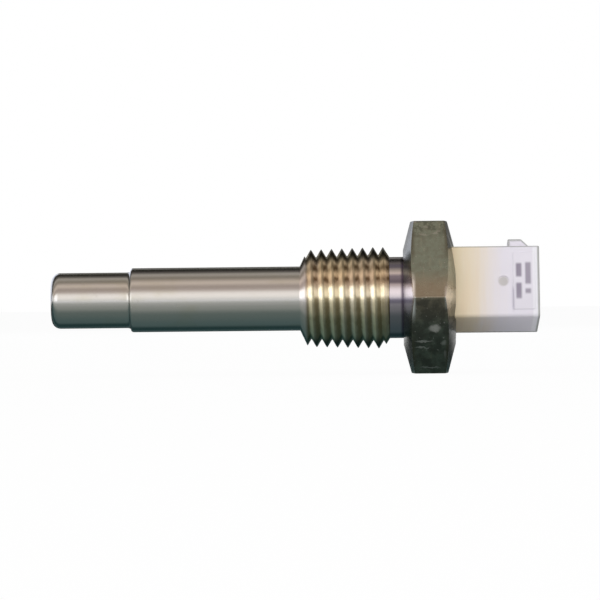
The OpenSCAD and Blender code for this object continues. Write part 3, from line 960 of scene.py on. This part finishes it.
class PROBE_OT_body(bpy.types.Operator):
    """Builds the turned body: tip, stem, thread, neck, hexagon and bores"""

    bl_idname = "probe.body"
    bl_label = "Probe Body"

    def execute(self, context):
        sizes = in_mm(context.scene.probe_body_sizes)
        mesh = body_mesh(sizes, in_mm(context.scene.probe_header_sizes))
        smooth_by_angle(mesh, degrees=32)
        colours = context.scene.probe_colours
        finishes = [make(colours, sizes) for make in (turned_steel, thread_metal, hexagon_metal)]
        finishes.append(plain_finish("bore_steel"))
        place_piece(mesh, "turned_probe_body", finishes, "probe_body")
        return {"FINISHED"}


# ---------------------------------------------------------------- header


def bar_outline(half_w, half_h, corner, steps=8):
    """Points round a rounded rectangle, as (across, up)."""
    points = []
    for quadrant, (right, top) in enumerate(((1, 1), (-1, 1), (-1, -1), (1, -1))):
        middle_y, middle_z = right * (half_w - corner), top * (half_h - corner)
        for k in range(steps + 1):
            turn = math.pi / 2 * (quadrant + k / steps)
            points.append((middle_y + corner * math.cos(turn), middle_z + corner * math.sin(turn)))
    return points


LIP_STEPS = 3  # steps of the mesh round each of the bar's lips
PIN_STEPS = 48  # steps round the ejector pin


def header_bar(sizes):
    """The header's bar with its socket, as one closed skin."""
    half_w, half_h, lip = sizes.width / 2, sizes.height / 2, sizes.lip
    inner_w, inner_h = half_w - sizes.wall, half_h - sizes.wall
    foot, mouth = sizes.foot_x, sizes.mouth_x
    loops = [(foot, half_w - lip, half_h - lip, sizes.corner)]
    for out, along in quarter(LIP_STEPS):
        inset = lip * (1 - out)
        loops.append((foot + lip * along, half_w - inset, half_h - inset, sizes.corner))
    loops.append((mouth - lip, half_w, half_h, sizes.corner))
    for along, inward in quarter(LIP_STEPS):
        inset = lip * inward
        loops.append((mouth - lip * (1 - along), half_w - inset, half_h - inset, sizes.corner))
    for out, along in [(0, 0), *quarter(LIP_STEPS)]:
        rim = lip * (1 - out)
        loops.append((mouth - lip * along, inner_w + rim, inner_h + rim, sizes.socket_corner + rim))
    loops.append((sizes.socket_x, inner_w, inner_h, sizes.socket_corner))
    work = bmesh.new()
    rings = []
    for x, wide, high, corner in loops:
        outline = bar_outline(wide, high, corner)
        rings.append([work.verts.new((x, y, z + sizes.rise)) for y, z in outline])
    for first, second in zip(rings, rings[1:]):
        for j in range(len(first)):
            after = (j + 1) % len(first)
            work.faces.new((first[j], first[after], second[after], second[j]))
    work.faces.new(rings[0])
    work.faces.new(rings[-1])
    return work


def prism(profile, low, high, bevel):
    """A bevelled prism: a profile in X and Z, drawn out along Y."""
    work = bmesh.new()
    near = [work.verts.new((x, low, z)) for x, z in profile]
    far = [work.verts.new((x, high, z)) for x, z in profile]
    made = [work.faces.new(near), work.faces.new(far[::-1])]
    for j in range(len(profile)):
        after = (j + 1) % len(profile)
        made.append(work.faces.new((near[j], far[j], far[after], near[after])))
    bmesh.ops.bevel(
        work,
        geom=list({edge for face in made for edge in face.edges}),
        offset=bevel,
        segments=3,
        profile=0.5,
        affect="EDGES",
        clamp_overlap=True,
    )
    return work


def latch_ramp(sizes):
    """The wedge on top of the bar that a plug's latch rides over."""
    top = sizes.rise + sizes.height / 2
    foot = sizes.mouth_x - sizes.latch_foot
    crest = foot - sizes.latch_ramp
    back = crest - sizes.latch_top
    profile = [
        (foot, top - sizes.root),
        (foot, top),
        (crest, top + sizes.latch_height),
        (back, top + sizes.latch_height),
        (back, top - sizes.root),
    ]
    return prism(profile, -sizes.latch_width / 2, sizes.latch_width / 2, sizes.latch_bevel)


def marking_pad(sizes):
    """The flat pad on the bar's front side."""
    side, half = -sizes.width / 2, sizes.pad_height / 2
    end = sizes.mouth_x - sizes.pad_foot
    start = end - sizes.pad_length
    low, high = sizes.rise - half, sizes.rise + half
    profile = [(end, low), (end, high), (start, high), (start, low)]
    return prism(profile, side - sizes.pad_proud, side + sizes.root, sizes.pad_bevel)


def ejector_pin(sizes):
    """The round pin that leaves the mark on the bar's front side."""
    work = bmesh.new()
    place = Matrix.Translation((sizes.mouth_x - sizes.mark_foot, -sizes.width / 2, sizes.rise))
    bmesh.ops.create_cone(
        work,
        cap_ends=True,
        segments=PIN_STEPS,
        radius1=sizes.mark_d / 2,
        radius2=sizes.mark_d / 2,
        depth=2 * sizes.mark_depth,
        matrix=place @ Matrix.Rotation(math.pi / 2, 4, "X"),
    )
    return work


def as_object(work, name):
    """A bmesh as an object in the scene."""
    bmesh.ops.recalc_face_normals(work, faces=work.faces)
    mesh = bpy.data.meshes.new(name)
    work.to_mesh(mesh)
    work.free()
    return add_object(name, mesh)


def combine(target, tool, operation):
    """Joins or cuts with an exact boolean, and removes the tool."""
    modifier = target.modifiers.new(operation.lower(), "BOOLEAN")
    modifier.object = tool
    modifier.operation = operation
    modifier.solver = "EXACT"
    bpy.context.view_layer.update()
    graph = bpy.context.evaluated_depsgraph_get()
    result = bpy.data.meshes.new_from_object(target.evaluated_get(graph))
    target.modifiers.clear()
    target.data = result
    bpy.data.objects.remove(tool)
    if not result.polygons:
        raise RuntimeError(f"{operation} left {target.name} empty")


HEADER_STEPS = ((latch_ramp, "UNION"), (marking_pad, "UNION"), (ejector_pin, "DIFFERENCE"))


class PROBE_OT_header(bpy.types.Operator):
    """Builds the moulded header: bar, socket, latch ramp, marking pad and ejector mark"""

    bl_idname = "probe.header"
    bl_label = "Connector Header"

    def execute(self, context):
        sizes = in_mm(context.scene.probe_header_sizes)
        header = as_object(header_bar(sizes), "header_bar")
        for make, operation in HEADER_STEPS:
            combine(header, as_object(make(sizes), make.__name__), operation)
        mesh = header.data
        bpy.data.objects.remove(header)
        mesh.transform(Matrix.Rotation(-sizes.turned, 4, "X"))
        mesh.transform(Matrix.Scale(MM, 4))
        mesh.materials.clear()
        smooth_by_angle(mesh, degrees=34)
        plastic = header_plastic(context.scene.probe_colours, sizes)
        place_piece(mesh, "moulded_header", [plastic], "connector_housing")
        return {"FINISHED"}


# ---------------------------------------------------------------- inner pieces


class PROBE_OT_inner(bpy.types.Operator):
    """Finishes the blades, the gasket and the pieces inside the probe"""

    bl_idname = "probe.inner"
    bl_label = "Inner Pieces"

    def execute(self, context):
        for name, nodes in INNER_NODES.items():
            material = plain_finish(name)
            for node in nodes:
                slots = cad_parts[node].data.materials
                slots.clear()
                slots.append(material)
        return {"FINISHED"}


# ---------------------------------------------------------------- stage


# what the gloss sees overhead: degrees above the horizon in front, and the card's light there
ARCH_BANDS = (
    (0, (0.95, 0.93, 0.88)),
    (12, (1.32, 1.26, 1.18)),
    (20, (1.32, 1.24, 1.16)),
    (38, (0.56, 0.47, 0.41)),
    (46, (0.48, 0.40, 0.35)),
    (62, (0.84, 0.72, 0.61)),
    (84, (0.30, 0.26, 0.21)),
    (101, (0.52, 0.48, 0.42)),
    (116, (0.11, 0.10, 0.09)),
    (130, (0.02, 0.02, 0.015)),
    (142, (0.03, 0.03, 0.025)),
    (152, (0.40, 0.39, 0.36)),
    (158, (0.06, 0.06, 0.05)),
    (172, (0.05, 0.05, 0.04)),
    (180, (0.75, 0.75, 0.75)),
)

# what the gloss sees underneath: millimetres behind the axis, and the card's light there; the dark stretch
# round the axis is a dark card with a painted shadow of the probe in it
BASE_BANDS = (
    (-110, (0.75, 0.76, 0.72)),
    (-36, (0.46, 0.47, 0.44)),
    (-19, (0.34, 0.36, 0.33)),
    (-9, (0.14, 0.18, 0.165)),
    (-1, (0.09, 0.14, 0.135)),
    (2, (0.02, 0.05, 0.05)),
    (5, (0.02, 0.05, 0.05)),
    (10, (0.08, 0.13, 0.13)),
    (20, (0.03, 0.04, 0.04)),
    (80, (0.03, 0.04, 0.04)),
    (110, (0.75, 0.76, 0.72)),
)

# bright windows off the tip's side: their ends along X in m, and their bands as on the arch
WINDOWS = {
    "tip_window": ((-0.75, -0.2), ((0, (1.8, 1.8, 1.8)), (30, (1.8, 1.75, 1.7)))),
    "rear_window": ((-0.75, -0.1), ((150, (1.0, 1.05, 1.2)), (180, (1.0, 1.05, 1.2)))),
}

ARCH_RADIUS = 0.42  # m
WINDOW_RADIUS = 0.41  # m, inside the arch
CARD_ENDS = (-1.5, 1.5)  # m along X, for the cards that pass over and under the probe
CARD_LIFT = 0.05  # mm from the floor up to the card on it

# name: degrees above the horizon in front, distance, width and length in m, watts, tint
LAMPS = {
    "front_lamp": (32, 0.7, 0.35, 0.9, 2.6, (1.0, 0.98, 0.95)),
    "top_lamp": (100, 0.7, 0.5, 0.9, 1.4, (1.0, 0.97, 0.93)),
    "rear_lamp": (150, 0.8, 0.5, 0.9, 1.8, (0.95, 0.98, 1.0)),
}

# a black surface that gives off its card's light and mirrors nothing
CARD_SURFACE = {
    "Base Color": (0.0, 0.0, 0.0),
    "Roughness": 1.0,
    "Specular IOR Level": 0.0,
    "Emission Strength": 1.0,
}

FLOOR_REACH = 4.0  # m from the probe to the floor's edges
FLOOR_COLOUR = (0.74, 0.74, 0.74)
FLOOR_WHITENESS = 0.96  # share of plain white in the floor as it is seen; the rest keeps the shadow
WORLD_LIGHT = {"Color": (0.95, 0.97, 1.0), "Strength": 0.42}


def blended(bands, place):
    """The light of a card at a place, smooth between its bands."""
    for (low, first), (high, second) in zip(bands, bands[1:]):
        if low <= place <= high:
            share = (place - low) / (high - low)
            share = share * share * (3 - 2 * share)
            return [a + (b - a) * share for a, b in zip(first, second)]
    raise ValueError(f"no band at {place}")


def add_card(name, line, ends=CARD_ENDS):
    """A card that only gloss sees, between two ends along X; its line holds (y, z, light) across it."""
    points = [(x, y, z) for y, z, _ in line for x in ends]
    faces = [(2 * k, 2 * k + 1, 2 * k + 3, 2 * k + 2) for k in range(len(line) - 1)]
    mesh = bpy.data.meshes.new(name)
    mesh.from_pydata(points, [], faces)
    layer = mesh.color_attributes.new("card", "FLOAT_COLOR", "POINT")
    for k, (_, _, light) in enumerate(line):
        for side in range(2):
            layer.data[2 * k + side].color = (*light, 1.0)
    glow = Finish(name, CARD_SURFACE)
    glow.feed("Emission Color", glow.node("ShaderNodeVertexColor", {"layer_name": "card"}))
    mesh.materials.append(glow.material)
    card = add_object(name, mesh)
    card.visible_camera = False
    card.visible_diffuse = False
    card.visible_shadow = False
    card.visible_transmission = False
    card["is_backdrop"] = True


def arch_line(radius, bands):
    """The line of an arched card, with its light at each degree."""
    line = []
    for degrees in range(bands[0][0], bands[-1][0] + 1):
        angle = math.radians(degrees)
        line.append((-radius * math.cos(angle), radius * math.sin(angle), blended(bands, degrees)))
    return line


def add_cards(lowest):
    """An arched card over the probe, two windows by its tip and a card under it, for steel to mirror."""
    add_card("arch_card", arch_line(ARCH_RADIUS, ARCH_BANDS))
    for name, (ends, bands) in WINDOWS.items():
        add_card(name, arch_line(WINDOW_RADIUS, bands), ends)
    first, last = BASE_BANDS[0][0], BASE_BANDS[-1][0]
    behind = [k / 2 for k in range(2 * first, 2 * last + 1)]
    height = lowest + CARD_LIFT * MM
    add_card("base_card", [(y * MM, height, blended(BASE_BANDS, y)) for y in behind])


def pale_surface(name):
    """A pale matte surface that keeps a soft shadow and reads as white behind the probe."""
    material = new_material(name)
    nodes = Nodes(material.node_tree)
    matte = nodes.node("ShaderNodeBsdfDiffuse", inputs={"Color": FLOOR_COLOUR})
    white = nodes.node("ShaderNodeEmission")
    shown = nodes.seen() * FLOOR_WHITENESS
    mixed = nodes.node("ShaderNodeMixShader", inputs={0: shown, 1: matte, 2: white})
    nodes.node("ShaderNodeOutputMaterial", inputs={"Surface": mixed})
    return material


def add_floor(lowest):
    """A pale floor that the probe rests on."""
    reach = FLOOR_REACH
    corners = ((-reach, -reach), (reach, -reach), (reach, reach), (-reach, reach))
    mesh = bpy.data.meshes.new("floor")
    mesh.from_pydata([(x, y, lowest) for x, y in corners], [], [(0, 1, 2, 3)])
    mesh.materials.append(pale_surface("pale_floor"))
    add_object("floor", mesh)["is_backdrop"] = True


def add_world(scene):
    """A white surrounding that lights the probe softly."""
    world = scene.world or bpy.data.worlds.new("studio")
    scene.world = world
    world.use_nodes = True
    nodes = Nodes(world.node_tree)
    soft = nodes.node("ShaderNodeBackground", inputs=WORLD_LIGHT)
    white = nodes.node("ShaderNodeBackground", inputs={"Color": (1.0, 1.0, 1.0)})
    mixed = nodes.node("ShaderNodeMixShader", inputs={0: nodes.seen(), 1: soft, 2: white})
    nodes.node("ShaderNodeOutputWorld", inputs={"Surface": mixed})


def add_lamp(aim, name, degrees, distance, wide, long, power, tint):
    """A soft area lamp at an angle above the horizon, which faces the probe."""
    data = bpy.data.lights.new(name, "AREA")
    data.shape = "RECTANGLE"
    data.size, data.size_y = long, wide
    data.energy, data.color = power, tint
    angle = math.radians(degrees)
    place = aim + Vector((0, -math.cos(angle), math.sin(angle))) * distance
    lamp = add_object(name, data)
    lamp.location = place
    lamp.rotation_euler = (aim - place).to_track_quat("-Z", "Y").to_euler()
    lamp.visible_glossy = False


def add_camera(scene, sizes):
    """A camera that looks straight at the probe from the front."""
    data = bpy.data.cameras.new("camera")
    data.sensor_width = 36.0
    data.lens = data.sensor_width * sizes.distance / sizes.width
    data.clip_start, data.clip_end = 0.01, 20.0
    backward = Vector((math.sin(sizes.azimuth), -math.cos(sizes.azimuth), 0))
    level = (-backward).to_track_quat("-Z", "Y").to_matrix().to_4x4()
    camera = add_object("camera", data)
    camera.location = (Vector((sizes.aim_x, 0, sizes.aim_z)) + backward * sizes.distance) * MM
    camera.rotation_euler = (level @ Matrix.Rotation(sizes.roll, 4, "Z")).to_euler()
    scene.camera = camera


class PROBE_OT_stage(bpy.types.Operator):
    """Adds the floor, the soft light, the reflecting cards and the camera"""

    bl_idname = "probe.stage"
    bl_label = "Stage"

    def execute(self, context):
        scene = context.scene
        sizes = in_mm(scene.probe_stage_sizes)
        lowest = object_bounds()[0].z
        add_floor(lowest)
        add_cards(lowest)
        add_world(scene)
        for name, values in LAMPS.items():
            add_lamp(Vector((sizes.aim_x, 0, 0)) * MM, name, *values)
        add_camera(scene, sizes)
        scene.view_settings.view_transform = "Standard"
        return {"FINISHED"}


# ---------------------------------------------------------------- panel


class PROBE_PT_panel(bpy.types.Panel):
    """Lists the steps that build the probe"""

    bl_idname = "PROBE_PT_panel"
    bl_label = "Temperature Probe"
    bl_space_type = "VIEW_3D"
    bl_region_type = "UI"
    bl_category = "Probe"

    def draw(self, context):
        for operator in OPERATORS:
            self.layout.operator(operator.bl_idname)


OPERATORS = (PROBE_OT_body, PROBE_OT_header, PROBE_OT_inner, PROBE_OT_stage)
GROUPS = {
    "probe_body_sizes": ProbeBodySizes,
    "probe_header_sizes": HeaderSizes,
    "probe_stage_sizes": StageSizes,
    "probe_colours": ProbeColours,
}


def register():
    for cls in (*GROUPS.values(), *OPERATORS, PROBE_PT_panel):
        bpy.utils.register_class(cls)
    for name, group in GROUPS.items():
        setattr(bpy.types.Scene, name, PointerProperty(type=group))


def unregister():
    for name in GROUPS:
        delattr(bpy.types.Scene, name)
    for cls in (PROBE_PT_panel, *reversed(OPERATORS), *reversed(GROUPS.values())):
        bpy.utils.unregister_class(cls)


def main():
    register()
    bpy.ops.probe.body()
    bpy.ops.probe.header()
    bpy.ops.probe.inner()
    bpy.ops.probe.stage()


if __name__ == "__main__":
    main()
